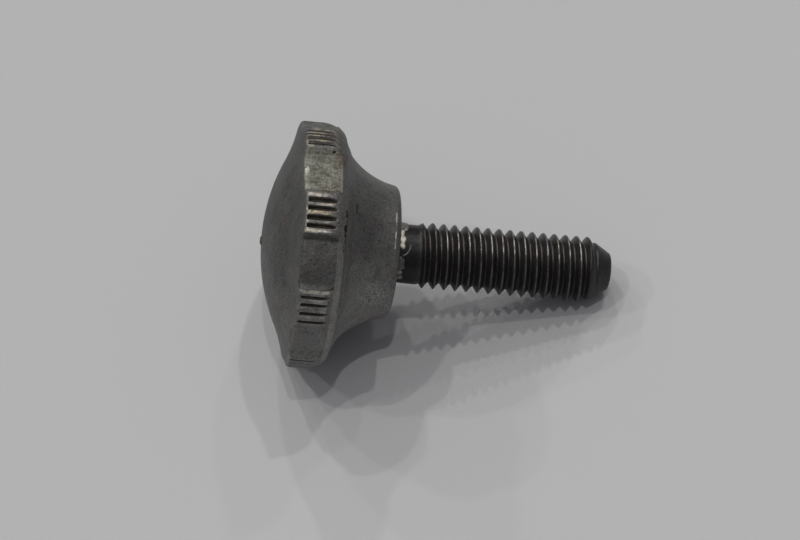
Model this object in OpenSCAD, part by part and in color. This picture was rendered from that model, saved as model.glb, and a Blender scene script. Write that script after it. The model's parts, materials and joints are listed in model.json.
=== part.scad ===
// Cover screw: a die-cast thumb knob with serrated lobes, cast round the headed end of a steel stud.
// Millimetres. The screw lies as it comes to rest, on the back edge of the rim's lowest hollow and on
// the end of its thread.
// +X runs along it towards the tip and +Z is up. The origin is on the surface that it rests on, under
// the middle of its outline. Each piece is drawn upright first, with the knob's seat at height 0 and the
// tip above it, and then laid down.

/* [Thread] */
// Outside diameter of the thread
thread_d = 6; // [5:0.1:8]
// Distance from crest to crest
pitch = 1; // [0.8:0.05:1.25]
// Half angle between the flanks
flank_angle = 30; // [27:1:30]
// From the knob's seat to the tip
stud_reach = 19.5; // [14:0.1:40]
// Plain neck between the seat and the thread
neck_len = 2.05; // [1:0.05:5]
// Diameter of the neck
neck_d = 5.3; // [4.2:0.02:5.4]
// Length over which the thread grows out of the neck
runout_len = 0.5; // [0.4:0.1:3]
// Diameter of the flat end of the tip
tip_d = 3.2; // [2:0.1:4]
// Slope of the long lead chamfer, from the axis
tip_angle = 32; // [20:1:45]
// Turn of the helix where it crosses the seat's plane
thread_turn = 343; // [0:1:359]

/* [Anchor inside the knob] */
// How deep the stud reaches into the casting
anchor_depth = 8.2; // [5:0.1:9]
// Across the flats of the cast-in hexagon
anchor_flats = 8; // [6:0.1:10]
// Thickness of the cast-in hexagon
anchor_height = 3.2; // [2:0.1:4]

/* [Knob rim] */
// Diameter over the lobes
rim_d = 22; // [20:0.1:30]
// Width of the straight band that carries the serrations
rim_band = 1.45; // [1:0.05:4]
// Rounding from the band to the back of the rim
shoulder_round = 2.26; // [1.2:0.02:3]
// Rounding from the band to the dome
front_round = 0.45; // [0.2:0.05:1]
// Slope of the rim's back, from a flat plate
back_angle = 19.8; // [10:0.1:30]

/* [Lobes] */
// Number of lobes
lobes = 8; // [6:1:9]
// Arc that one lobe takes up
lobe_arc = 19.5; // [16:0.5:24]
// How far the hollows between the lobes sink below them
hollow_depth = 0.45; // [0.4:0.01:0.8]
// Grooves in one lobe
grooves = 4; // [2:1:5]
// Angle from groove to groove
groove_step = 4.3; // [3:0.1:5]
// Depth of a groove
groove_depth = 0.45; // [0.2:0.05:0.7]
// Angle between the two sides of a groove
groove_angle = 62; // [50:1:80]
// Lip left between the grooves and the front face
groove_lip = 0.15; // [0.1:0.05:0.6]
// How far the grooves run from the band into the shoulder
groove_back = 1; // [0.2:0.05:1.2]
// Slope of the walls that end a groove, from the axis
stop_angle = 60; // [30:1:70]

/* [Dome] */
// Radius of the domed middle
dome_round = 17.3; // [14:0.1:40]
// Radius of the hollow ring that leads from the dome to the rim
ogee_round = 14.3; // [6:0.1:20]
// Slope of the face at the rim, from a flat plate
edge_angle = 13.8; // [5:0.1:20]
// Straight part of the face next to the rim
edge_len = 0.58; // [0.1:0.02:1.5]
// Diameter of the pip in the middle
pip_d = 0.8; // [0.4:0.05:2]
// Height of the pip
pip_h = 0.15; // [0.05:0.01:0.4]

/* [Boss] */
// Diameter of the flat seat
seat_d = 10.7; // [9.5:0.1:13]
// Rounding of the seat's edge
seat_round = 0.6; // [0.2:0.05:1]
// Draft of the boss at its seat
draft_angle = 10.4; // [3:0.1:15]
// Radius of the flare from the boss to the rim
flare_round = 6.9; // [6:0.1:12]
// Slope of the flare where it meets the rim's back, from a flat plate
flare_angle = 41.5; // [35:0.5:55]
// Rounding between the flare and the rim's back
throat_round = 1.35; // [0.5:0.05:2]

/* [Hidden] */

$fn = 96;
SEGMENTS = 36; // flat steps in one turn of the thread
SPARE = 1; // how far a cutter runs past what it cuts
SUNK = 0.1; // how far the blank's end lies inside the thread's core

function polar(r, a) = [r * cos(a), r * sin(a)];
function arc(centre, r, from, to, steps, first = 0) =
    [for (i = [first:steps]) centre + polar(r, from + (to - from) * i / steps)];

// ---- Outline of the knob: radius and height, from the seat round the rim to the middle of the dome ----
rim_r = rim_d / 2;
seat_centre = [seat_d / 2, -seat_round];
flare_centre = seat_centre + polar(seat_round + flare_round, draft_angle);
throat_centre = flare_centre - polar(flare_round - throat_round, 90 - flare_angle);
throat_end = throat_centre - polar(throat_round, 90 - back_angle);
shoulder_r = rim_r - shoulder_round;
shoulder_top_r = shoulder_r + shoulder_round * sin(back_angle);
band_top = throat_end[1] - (shoulder_top_r - throat_end[0]) * tan(back_angle)
    - shoulder_round * cos(back_angle);
band_bottom = band_top - rim_band;
shoulder = arc([shoulder_r, band_top], shoulder_round, 90 - back_angle, 0, 9);
front_centre = [rim_r - front_round, band_bottom];
front_end = front_centre + polar(front_round, edge_angle - 90);
edge_end = front_end - polar(edge_len, edge_angle);
ogee_centre = edge_end + polar(ogee_round, edge_angle - 90);
join_angle = asin(ogee_centre[0] / (dome_round + ogee_round)); // where the dome meets the hollow ring
dome_centre = [0, ogee_centre[1] + (dome_round + ogee_round) * cos(join_angle)];
dome_top = dome_centre[1] - dome_round;

knob_outline = concat(
    [[0, 0]],
    arc(seat_centre, seat_round, 90, draft_angle, 5),
    arc(flare_centre, flare_round, 180 + draft_angle, 270 - flare_angle, 9, 1),
    arc(throat_centre, throat_round, 270 - flare_angle, 270 - back_angle, 4, 1),
    shoulder,
    arc(front_centre, front_round, 0, edge_angle - 90, 5),
    arc(ogee_centre, ogee_round, 90 + edge_angle, 90 + join_angle, 5),
    arc(dome_centre, dome_round, join_angle - 90, -90, 10, 1)
);

// ---- Thread: a ridge with 60 degree flanks that climbs one pitch in each turn ----
crest_r = thread_d / 2;
neck_r = neck_d / 2;
thread_depth = 0.6134 * pitch; // standard depth of an outside thread
root_r = crest_r - thread_depth;
crest_half = pitch / 16; // half of the narrow land on the crest
root_half = pitch / 2 - crest_half - thread_depth * tan(flank_angle);
turns = ceil((stud_reach - neck_len) / pitch) + 4;
thread_bottom = (floor(neck_len / pitch) - 2) * pitch + thread_turn / 360 * pitch;
thread_steps = [[-crest_half, crest_r], [crest_half, crest_r],
    [pitch / 2 - root_half, root_r], [pitch / 2 + root_half, root_r]];

// ---- Rest: the last whole crest and the back edge of the lowest hollow both touch the surface ----
chamfer_start = stud_reach - (crest_r - tip_d / 2) / tan(tip_angle);
crest_at_rest = thread_bottom + crest_half
    + floor((chamfer_start - thread_bottom - crest_half) / pitch) * pitch;
rest_r = rim_r - hollow_depth;
rest_z = lookup(rest_r, shoulder); // where the hollow runs out of the shoulder
lean = atan2(rest_r - crest_r, crest_at_rest - rest_z);
rest_height = crest_at_rest * sin(lean) + crest_r * cos(lean);
reach_x = stud_reach * cos(lean) + tip_d / 2 * sin(lean);
back_x = min([for (p = knob_outline) p[1] * cos(lean) - p[0] * sin(lean)]);

// Lays an upright piece down, with its axis dropping towards the tip by the angle of rest.
module laid() {
    translate([-(reach_x + back_x) / 2, 0, rest_height]) rotate([0, 90 + lean, 0]) children();
}

// One helical ridge on its core, longer than the thread at both ends.
module thread_ridge() {
    rings = turns * 4;
    last = SEGMENTS - 1;
    function at(column, ring) = column * (rings + 1) + ring;
    function side(a, b, c, d) = [[a, b, c], [a, c, d]];
    points = [for (column = [0:last], ring = [0:rings])
        let (step = thread_steps[ring % 4], turn = 360 * column / SEGMENTS,
            z = thread_bottom + pitch * (turn / 360 + floor(ring / 4)) + step[0])
        [step[1] * cos(turn), step[1] * sin(turn), z]];
    bottom = len(points);
    top = bottom + 1;
    ends = [[0, 0, thread_bottom], [0, 0, thread_bottom + turns * pitch + pitch]];
    walls = [for (column = [0:last - 1], ring = [0:rings - 1]) each side(
        at(column, ring), at(column, ring + 1), at(column + 1, ring + 1), at(column + 1, ring))];
    // the last column meets the first one a whole turn higher up
    seam = [for (ring = [0:rings - 5]) each side(
        at(last, ring), at(last, ring + 1), at(0, ring + 5), at(0, ring + 4))];
    bottom_edge = concat([for (column = [0:last]) at(column, 0)], [for (ring = [4:-1:1]) at(0, ring)]);
    top_edge = concat([for (column = [0:last]) at(column, rings)],
        [for (ring = [rings - 1:-1:rings - 4]) at(last, ring)]);
    function fan(edge, middle, way) = [for (i = [0:len(edge) - 1])
        let (a = edge[i], b = edge[(i + 1) % len(edge)]) way ? [a, b, middle] : [b, a, middle]];
    polyhedron(concat(points, ends),
        concat(walls, seam, fan(bottom_edge, bottom, true), fan(top_edge, top, false)));
}

// The space that the finished thread may fill: it grows out of the neck and ends in the lead chamfer.
module thread_envelope() {
    over = SPARE / 2;
    grow = (crest_r - neck_r) / runout_len;
    rotate_extrude() polygon([
        [0, neck_len - over], [neck_r - over * grow, neck_len - over],
        [crest_r + over, neck_len + (crest_r + over - neck_r) / grow],
        [crest_r + over, chamfer_start - over / tan(tip_angle)], [tip_d / 2, stud_reach], [0, stud_reach]
    ]);
}

// The plain blank under the thread, with the hexagon that the knob is cast round.
module stud_blank() {
    fade_start = neck_len + runout_len / 4;
    fade_end = neck_len + runout_len * 1.25;
    rotate_extrude() polygon([
        [0, -anchor_depth], [neck_r, -anchor_depth], [neck_r, fade_start],
        [root_r - SUNK, fade_end], [0, fade_end]
    ]);
    anchor_hexagon();
}

module anchor_hexagon() {
    translate([0, 0, -anchor_depth])
        cylinder(h = anchor_height, r = anchor_flats / 2 / cos(30), $fn = 6);
}

module threaded_stud() {
    color("#2b2927") laid() union() {
        stud_blank();
        intersection() {
            thread_ridge();
            thread_envelope();
        }
    }
}

// ---- Knob ----
lobe_pitch = 360 / lobes;
hollow_half = (lobe_pitch - lobe_arc) / 2;
front_z = band_bottom - front_round; // the cutters reach the front face here

// The space between two lobes: a round scoop that runs out through the shoulder.
module rim_cutter_hollow() {
    chord = rim_r * sin(hollow_half);
    rise = hollow_depth - rim_r * (1 - cos(hollow_half));
    scoop_r = (chord * chord + rise * rise) / (2 * rise);
    start = front_z - SPARE;
    translate([rest_r + scoop_r, 0, start]) cylinder(h = band_top + shoulder_round - start, r = scoop_r);
}

// One V groove in the plane of the rim, with a sloping wall at each end.
module rim_cutter_groove() {
    half_width = (groove_depth + SPARE) * tan(groove_angle / 2);
    start = front_z + groove_lip;
    stop = band_top + groove_back;
    run = groove_depth / tan(stop_angle);
    over = SPARE / tan(stop_angle);
    intersection() {
        translate([0, 0, start - over]) linear_extrude(stop - start + over * 2)
            polygon([[rim_r - groove_depth, 0], [rim_r + SPARE, half_width], [rim_r + SPARE, -half_width]]);
        rotate([90, 0, 0]) linear_extrude(half_width * 4, center = true) polygon([
            [rim_r - groove_depth, start + run], [rim_r - groove_depth, stop - run],
            [rim_r + SPARE, stop + over], [rim_r + SPARE, start - over]
        ]);
    }
}

module knob() {
    color("#8b8a86") laid() difference() {
        union() {
            rotate_extrude() polygon(knob_outline);
            translate([0, 0, dome_top - pip_h]) cylinder(h = pip_h + SPARE, d = pip_d);
        }
        for (lobe = [0:lobes - 1]) {
            rotate(lobe * lobe_pitch) rim_cutter_hollow();
            for (groove = [0:grooves - 1])
                rotate((lobe + 0.5) * lobe_pitch + (groove - (grooves - 1) / 2) * groove_step)
                    rim_cutter_groove();
        }
        stud_blank();
    }
}

knob();
threaded_stud();
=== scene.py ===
"""Looks of the cover screw: a dull die-cast knob with serrated lobes on a blackened, worn stud."""

import json
import random
from math import asin, ceil, cos, degrees, pi, radians, sin, sqrt, tan

import bmesh
import bpy
import numpy as np
from mathutils import Matrix, Vector, noise


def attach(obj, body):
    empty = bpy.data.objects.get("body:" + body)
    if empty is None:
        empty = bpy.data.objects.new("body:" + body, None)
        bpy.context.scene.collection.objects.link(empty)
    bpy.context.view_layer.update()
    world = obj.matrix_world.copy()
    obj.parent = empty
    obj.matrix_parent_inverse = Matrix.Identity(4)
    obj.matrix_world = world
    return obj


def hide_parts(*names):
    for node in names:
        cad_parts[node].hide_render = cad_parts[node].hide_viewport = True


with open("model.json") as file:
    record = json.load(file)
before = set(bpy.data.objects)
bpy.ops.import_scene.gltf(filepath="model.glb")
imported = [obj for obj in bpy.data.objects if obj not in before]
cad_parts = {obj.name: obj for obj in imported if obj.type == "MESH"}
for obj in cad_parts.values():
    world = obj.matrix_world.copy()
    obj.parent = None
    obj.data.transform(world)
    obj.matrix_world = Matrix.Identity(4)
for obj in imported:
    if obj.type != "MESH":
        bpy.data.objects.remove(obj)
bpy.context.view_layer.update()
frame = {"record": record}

MM = 0.001
SEED = 7

# ---- Where the screw lies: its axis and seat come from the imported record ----
mount = next(mount for mount in frame["record"]["mounts"] if mount["name"] == "seat")
AXIS = Vector(mount["axis"]).normalized()
SEAT = Vector((mount["pos_m"][0], 0.0, mount["pos_m"][2]))
LYING_UP = Vector((-AXIS.z, 0.0, AXIS.x))  # upright in the screw's own plane of symmetry
# Upright local frame: x points down when the screw lies, z runs along the axis to the tip.
ACROSS = Vector((0.0, 1.0, 0.0))
LAID = (Matrix.Translation(SEAT) @ Matrix((-LYING_UP, ACROSS, AXIS)).transposed().to_4x4()
        @ Matrix.Scale(MM, 4))

# ---- Sizes in mm on the upright screw: the seat is at height 0 and the tip above it ----
RIM_R = 11.0
RIM_BAND = 1.45
SHOULDER_ROUND = 2.26
FRONT_ROUND = 0.45
BACK_ANGLE = 19.8
LOBES = 8
LOBE_ARC = 19.5
LOBE_SLOPE = 45.0
HOLLOW_DEPTH = 0.45
HOLLOW_BACK = 1.2
GROOVES = 4
GROOVE_STEP = 4.3
GROOVE_DEPTH = 0.45
GROOVE_HALF = 0.28
GROOVE_LIP = 0.15
GROOVE_BACK = 1.0
STOP_SLOPE = tan(radians(60))
DOME_ROUND = 17.3
OGEE_ROUND = 14.3
EDGE_ANGLE = 13.8
EDGE_LEN = 0.58
PIP_R = 0.4
PIP_H = 0.15
SEAT_R = 5.35
SEAT_ROUND = 0.6
DRAFT_ANGLE = 10.4
FLARE_ROUND = 6.9
FLARE_ANGLE = 41.5
THROAT_ROUND = 1.35
NECK_R = 2.65
NECK_LEN = 2.05
RUNOUT_LEN = 0.5
ANCHOR_DEPTH = 8.2
ANCHOR_FLAT_R = 4.0
ANCHOR_HEIGHT = 3.2
CREST_R = 3.0
ROOT_R = 2.3866
PITCH = 1.0
THREAD_TURN = 343.0
STUD_REACH = 19.5
TIP_R = 1.6
TIP_ANGLE = 32.0
CHAMFER_START = STUD_REACH - (CREST_R - TIP_R) / tan(radians(TIP_ANGLE))
STUD_START = -0.4  # the visible stud begins this far inside the knob


def polar(radius, angle):
    """A point or a step from its length and direction."""
    return np.array((cos(radians(angle)), sin(radians(angle)))) * radius


def round_axis(r, angle, z, off=(0.0, 0.0)):
    """Points from their distance and angle round the axis, and their height."""
    turn = np.radians(angle)
    return np.stack([r * np.cos(turn) + off[0], r * np.sin(turn) + off[1], z], axis=-1)


def smooth(low, high, value):
    """0 below low, 1 above high and an eased rise between them."""
    t = np.clip((value - low) / (high - low), 0.0, 1.0)
    return t * t * (3 - 2 * t)


def bump(off, half):
    """1 where the offset is 0, easing to 0 at half either side."""
    return 1.0 - smooth(0.0, half, np.abs(off))


def turn_between(angle, middle):
    """Signed angle in degrees from middle to angle."""
    return (angle - middle + 180.0) % 360.0 - 180.0


def fractal(points, size, seed):
    """Fractal noise of about -1 to 1 at each point, with features of the given size."""
    offset = Vector((seed * 17.3, seed * 5.1, seed * 9.7))
    return np.array([noise.fractal(Vector(p) / size + offset, 0.8, 2.1, 3) for p in points])


def add_object(name, data):
    """A new object in the scene."""
    added = bpy.data.objects.new(name, data)
    bpy.context.collection.objects.link(added)
    return added


def make_piece(name, points_mm, faces, replaced=None):
    """A mesh object from upright millimetre points, laid down, riding on the body."""
    mesh = bpy.data.meshes.new(name)
    mesh.from_pydata([tuple(p) for p in points_mm], [], faces)
    mesh.transform(LAID)
    mesh.validate()
    mesh.shade_smooth()
    piece = add_object(name, mesh)
    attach(piece, "root")
    if replaced:
        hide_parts(replaced)
    return piece


def paint(piece, **layers):
    """Stores numbers for each point, which the material reads by name."""
    for name, values in layers.items():
        layer = piece.data.attributes.new(name, "FLOAT", "POINT")
        layer.data.foreach_set("value", np.asarray(values, dtype=np.float32).ravel())


# ---- Rings of points joined into one skin ----
class Skin:
    """Collects rings of points and joins them with faces, also where their counts differ."""

    def __init__(self):
        self.points = []
        self.faces = []
        self.count = 0

    def ring(self, angles, points):
        """Adds one ring and returns what join and fan need of it."""
        start = self.count
        self.points.append(points)
        self.count += len(points)
        return start, angles

    def join(self, lower, upper):
        """Faces between two rings: quads where the counts match, or else triangles."""
        start_a, angles_a = lower
        start_b, angles_b = upper
        count_a, count_b = len(angles_a), len(angles_b)
        if count_a == count_b:
            for i in range(count_a):
                j = (i + 1) % count_a
                self.faces.append((start_a + i, start_b + i, start_b + j, start_a + j))
            return
        i = j = 0
        while i < count_a or j < count_b:
            next_a = angles_a[i + 1] if i + 1 < count_a else 360.0 + angles_a[0]
            next_b = angles_b[j + 1] if j + 1 < count_b else 360.0 + angles_b[0]
            a, b = start_a + i % count_a, start_b + j % count_b
            if j >= count_b or (i < count_a and next_a <= next_b):
                self.faces.append((start_a + (i + 1) % count_a, a, b))
                i += 1
            else:
                self.faces.append((start_b + (j + 1) % count_b, a, b))
                j += 1

    def fan(self, lower, middle, flip=False):
        """Closes a ring with triangles that meet in one point."""
        start, angles = lower
        tip = self.count
        self.points.append(np.array([middle]))
        self.count += 1
        for i in range(len(angles)):
            this, after = start + i, start + (i + 1) % len(angles)
            self.faces.append((this, after, tip) if flip else (after, this, tip))

    def all_points(self):
        return np.vstack(self.points)


# ---- Knob ----
def arc(centre, radius, start, end, step):
    """Points along an arc after its start, no further apart than the step."""
    count = max(2, ceil(abs(radians(end - start)) * radius / step))
    return [centre + polar(radius, start + (end - start) * i / count) for i in range(1, count + 1)]


def line(start, end, step):
    """Points along a straight line after its start, no further apart than the step."""
    count = max(1, ceil(np.linalg.norm(end - start) / step))
    return [start + (end - start) * i / count for i in range(1, count + 1)]


# The outline's centres and ends, as distance from the axis and height, from the seat to the face
seat_centre = np.array((SEAT_R, -SEAT_ROUND))
flare_centre = seat_centre + polar(SEAT_ROUND + FLARE_ROUND, DRAFT_ANGLE)
throat_centre = flare_centre - polar(FLARE_ROUND - THROAT_ROUND, 90 - FLARE_ANGLE)
throat_end = throat_centre - polar(THROAT_ROUND, 90 - BACK_ANGLE)
shoulder_r = RIM_R - SHOULDER_ROUND
shoulder_top_r = shoulder_r + SHOULDER_ROUND * sin(radians(BACK_ANGLE))
band_top = (throat_end[1] - (shoulder_top_r - throat_end[0]) * tan(radians(BACK_ANGLE))
            - SHOULDER_ROUND * cos(radians(BACK_ANGLE)))
band_bottom = band_top - RIM_BAND
shoulder_centre = np.array((shoulder_r, band_top))
front_centre = np.array((RIM_R - FRONT_ROUND, band_bottom))
front_end = front_centre + polar(FRONT_ROUND, EDGE_ANGLE - 90)
edge_end = front_end - polar(EDGE_LEN, EDGE_ANGLE)
ogee_centre = edge_end + polar(OGEE_ROUND, EDGE_ANGLE - 90)
join_angle = degrees(asin(ogee_centre[0] / (DOME_ROUND + OGEE_ROUND)))
dome_centre = np.array((0.0, ogee_centre[1] + (DOME_ROUND + OGEE_ROUND)
                        * cos(radians(join_angle))))
dome_top = dome_centre[1] - DOME_ROUND

# Columns of points round the axis, in degrees
COARSE = np.arange(400) * 0.9
MIDDLE = np.arange(200) * 1.8
INNER = np.arange(72) * 5.0
SPAN = 360.0 / LOBES
HOLLOW_HALF = (SPAN - LOBE_ARC) / 2
SIDE_MARGIN = 2.8  # degrees that the close columns reach down a lobe's sides
HALF_HOLLOW_COLUMNS = 11
LOBE_COLUMNS = 90


def fine_angles():
    """Close columns on the lobes, wider ones in the hollows."""
    angles = []
    wide = HOLLOW_HALF - SIDE_MARGIN
    counts = (HALF_HOLLOW_COLUMNS, LOBE_COLUMNS, HALF_HOLLOW_COLUMNS)
    for start in np.arange(LOBES) * SPAN:
        marks = (start, start + wide, start + SPAN - wide, start + SPAN)
        for first, last, count in zip(marks, marks[1:], counts):
            angles += list(np.linspace(first, last, count, endpoint=False))
    return np.array(angles)


FINE = fine_angles()


def from_hollow(angles):
    """Signed angle from the middle of the nearest hollow."""
    return (np.asarray(angles) + SPAN / 2) % SPAN - SPAN / 2


def nearest_hollow(angles):
    """Number of the nearest hollow, counted from the lowest one on."""
    return np.round(np.asarray(angles) / SPAN).astype(int) % LOBES


def lobe_at(angles):
    """Number of the lobe nearest to each angle."""
    return (angles // SPAN).astype(int) % LOBES


def soft_min(first, second, width):
    """The smaller of two values, rounded where they cross."""
    share = np.clip(0.5 + 0.5 * (second - first) / width, 0.0, 1.0)
    return second * (1 - share) + first * share - width * share * (1 - share)


FLOOR_EASE = 0.10  # rounding between a hollow's floor and its sides


def rim_radius(angles):
    """Radius of the rim at each angle, with the sloping sides and floors of its hollows."""
    inward = HOLLOW_HALF - np.abs(from_hollow(angles))
    side = np.radians(inward) * RIM_R / tan(radians(LOBE_SLOPE))
    return RIM_R - np.clip(soft_min(side, HOLLOW_DEPTH, FLOOR_EASE), 0.0, HOLLOW_DEPTH)


# Rounding of the front edge in each hollow, from the lowest one on
HOLLOW_FRONT = (0.35, 0.30, 0.35, 0.30, 0.12, 0.50, 0.60, 0.40)
FRONT_OVERLAP = 2.0  # it fades out this far into the lobes, in degrees
FRONT_HOLD = 1.6  # above 1, it holds over more of the hollow


def front_rounding(angles):
    """Radius of the rim's front edge at each angle."""
    own = np.array(HOLLOW_FRONT)[nearest_hollow(angles)]
    weight = bump(from_hollow(angles), HOLLOW_HALF + FRONT_OVERLAP)
    return FRONT_ROUND + (own - FRONT_ROUND) * np.minimum(weight * FRONT_HOLD, 1.0)


# Each groove differs a little, as the worn die leaves them. Shifts by lobe, in degrees.
GROOVE_SHIFTS = {3: (0.6, 0.1, -0.1, -0.2), 4: (0.35, 0.05, 0.15, -0.25), 5: (1.15, 0.75, 1.15, 1.25)}
# How wide and deep each lobe's grooves are against the plain ones
GROOVE_SHARE = {3: 0.74, 4: 0.95, 5: 0.85}
# Shallow lines beside the grooves of the lobe whose die is worn out: angle and depth
WORN_LOBE = 3
WORN_LINES = ((146.4, 0.14), (153.2, 0.16), (157.9, 0.20), (162.4, 0.18), (168.2, 0.20))
WORN_LINE_HALF = 0.13
# Ranges of the small random differences
VARY_TURN = (-0.15, 0.15)
VARY_DEPTH = (0.82, 1.0)
VARY_HALF = (0.84, 1.08)
VARY_ALONG = (-0.06, 0.10)
VARY_LINE_ALONG = (-0.1, 0.2)


def all_grooves():
    """Angle, depth, half width and shift along the axis of every groove and worn line."""
    dice = random.Random(SEED)
    grooves = []
    for lobe in range(LOBES):
        share = GROOVE_SHARE.get(lobe, 1.0)
        for number, shift in enumerate(GROOVE_SHIFTS.get(lobe, (0.0,) * GROOVES)):
            middle = (lobe + 0.5) * SPAN + (number - (GROOVES - 1) / 2) * GROOVE_STEP
            grooves.append((
                middle + shift + dice.uniform(*VARY_TURN),
                GROOVE_DEPTH * share * dice.uniform(*VARY_DEPTH),
                GROOVE_HALF * share * dice.uniform(*VARY_HALF),
                dice.uniform(*VARY_ALONG),
            ))
    grooves += [(at, depth, WORN_LINE_HALF, dice.uniform(*VARY_LINE_ALONG)) for at, depth in WORN_LINES]
    return grooves


GROOVE_LIST = all_grooves()
NO_GROOVE_R = RIM_R + 1.0
VALLEY_FROM = 0.8  # a groove's walls ease off below this share of its depth
VALLEY_EASE = 0.5


def groove_floor(angles, heights):
    """Radius that the grooves leave at each place: more than the rim's where there are none."""
    floor = np.full(len(angles), NO_GROOVE_R)
    for middle, depth, half, shift in GROOVE_LIST:
        front = (heights - (band_bottom - FRONT_ROUND + GROOVE_LIP + shift)) * STOP_SLOPE
        back = (band_top + GROOVE_BACK + shift * 0.5 - heights) * STOP_SLOPE
        deep = np.clip(np.minimum(front, back), 0.0, depth)
        off = np.abs(turn_between(angles, middle)) * radians(1) * RIM_R / half
        valley = np.clip(1.0 - off, 0.0, 1.0)
        valley = np.where(valley > VALLEY_FROM, VALLEY_FROM + (valley - VALLEY_FROM) * VALLEY_EASE, valley)
        cut = RIM_R - np.minimum(depth * valley, deep)
        floor = np.minimum(floor, np.where((off < 1.0) & (deep > 0.0), cut, NO_GROOVE_R))
    return floor


edge_sin, edge_cos = sin(radians(EDGE_ANGLE)), cos(radians(EDGE_ANGLE))
face_offset = edge_end[0] * edge_sin - edge_end[1] * edge_cos


def front_middle(radius, rounding):
    """Middle of the rounding that joins the rim at this radius to the sloping face."""
    across = radius - rounding
    return across, (across * edge_sin - face_offset + rounding) / edge_cos


# Each hollow stops on the shoulder, at this height and at this angle of the shoulder's arc
hollow_stop = band_top + HOLLOW_BACK
STOP_AT = degrees(asin(HOLLOW_BACK / SHOULDER_ROUND))
STOP_GAP = 0.4  # degrees of the arc from the stop to the rows beside it


def rim_rows():
    """Zone and place within it, for the rows with close columns."""
    back = list(np.linspace(90 - BACK_ANGLE, STOP_AT + STOP_GAP, 17)[1:])
    rows = [("shoulder", t) for t in back + list(np.linspace(STOP_AT - STOP_GAP, 0, 14))]
    rows += [("band", t) for t in np.linspace(0, 1, 18)[1:]]
    rows += [("front", t) for t in np.linspace(0, EDGE_ANGLE - 90, 9)[1:]]
    rows += [("edge", t) for t in np.linspace(0, 1, 5)[1:]]
    return rows


# One hollow's front edge has a burr: its middle and half length in degrees, and its height
BURR_AT = 180.0
BURR_HALF = 15.0
BURR_HEIGHT = 0.13


def burr(angles):
    """How far the front edge is raised at each angle."""
    return BURR_HEIGHT * bump(turn_between(angles, BURR_AT), BURR_HALF)


def rim_points(zone, at, angles):
    """Radius, height and depth below the plain rim of one row of close columns."""
    rim = rim_radius(angles)
    rounding = front_rounding(angles)
    across, up = front_middle(rim, rounding)
    if zone == "shoulder":
        arc_r, arc_z = shoulder_centre + polar(SHOULDER_ROUND, at)
        open_back = np.abs(turn_between(angles, 0.0)) < SPAN / 2  # the screw rests there
        wall = np.where(open_back | (arc_z < hollow_stop), rim, RIM_R)
        radius = np.minimum(arc_r, wall)
        height = arc_z
    elif zone == "band":
        radius = rim
        height = band_top + (up - band_top) * at
    elif zone == "front":
        radius = across + rounding * cos(radians(at))
        height = up + rounding * sin(radians(at)) - burr(angles) * at / (EDGE_ANGLE - 90)
    else:
        end_r, end_z = across + rounding * edge_sin, up - rounding * edge_cos
        radius = end_r + (edge_end[0] - end_r) * at
        height = end_z + (edge_end[1] - end_z) * at - burr(angles) * (1 - at)
    cut = np.minimum(radius, groove_floor(angles, height)) if zone != "edge" else radius
    return cut, height, radius - cut


# The face of the casting is a little out of square to the axis. The tilt begins at SKEW_FROM.
SKEW = 0.0172
SKEW_AT = 127.1
SKEW_FROM = -6.0
SKEW_OVER = 3.0


def skewed(radius, height, angles):
    """Height with the face's tilt."""
    share = np.clip((SKEW_FROM - height) / SKEW_OVER, 0.0, 1.0)
    return height - SKEW * radius * np.cos(np.radians(np.asarray(angles) - SKEW_AT)) * share


class Outline(Skin):
    """The knob's skin, which keeps the place and zone of each point for its wear."""

    def __init__(self):
        super().__init__()
        self.info = []
        self.zones = {}
        self.last = None

    def row(self, zone, angles, radius, height, groove=0.0, flip=False):
        """One ring of points, joined to the last one."""
        radius, height = (np.broadcast_to(v, len(angles)) for v in (radius, height))
        number = self.zones.setdefault(zone, len(self.zones))
        level = skewed(radius, height, angles) if zone != "cavity" else height
        ring = self.ring(angles, round_axis(radius, angles, level))
        self.note(angles, radius, height, number, groove)
        if self.last:
            self.join(*((ring, self.last) if flip else (self.last, ring)))
        self.last = ring
        return ring

    def note(self, angles, radius, height, number, groove):
        """Keeps the plain place of each point."""
        self.info.append(np.stack([np.broadcast_to(v, len(angles)).astype(float)
                                   for v in (height, radius, angles, number, groove)], axis=1))

    def rows(self, zone, angles, points):
        """A ring for each point of an outline."""
        for radius, height in points:
            self.row(zone, angles, radius, height)


# Largest steps along the outline
SEAT_STEP = 0.3
EDGE_STEP = 0.07
FLARE_STEP = 0.15
BACK_STEP = 0.13
FACE_STEP = 0.18
# The dome has fewer columns inside these radii
DOME_MIDDLE_R = 4.0
DOME_INNER_R = 1.0


def add_back(skin):
    """Seat, boss, flare and the plain back of the rim. Returns the ring at the stud."""
    first = skin.row("seat", MIDDLE, NECK_R, 0.0)
    skin.rows("seat", MIDDLE, line(np.array((NECK_R, 0.0)), np.array((SEAT_R, 0.0)), SEAT_STEP))
    skin.rows("boss", COARSE, arc(seat_centre, SEAT_ROUND, 90, DRAFT_ANGLE, EDGE_STEP))
    flare = arc(flare_centre, FLARE_ROUND, 180 + DRAFT_ANGLE, 270 - FLARE_ANGLE, FLARE_STEP)
    skin.rows("boss", COARSE, flare)
    throat = arc(throat_centre, THROAT_ROUND, 270 - FLARE_ANGLE, 270 - BACK_ANGLE, BACK_STEP)
    skin.rows("back", COARSE, throat)
    shoulder_start = shoulder_centre + polar(SHOULDER_ROUND, 90 - BACK_ANGLE)
    skin.rows("back", COARSE, line(throat_end, shoulder_start, BACK_STEP))
    return first


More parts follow.
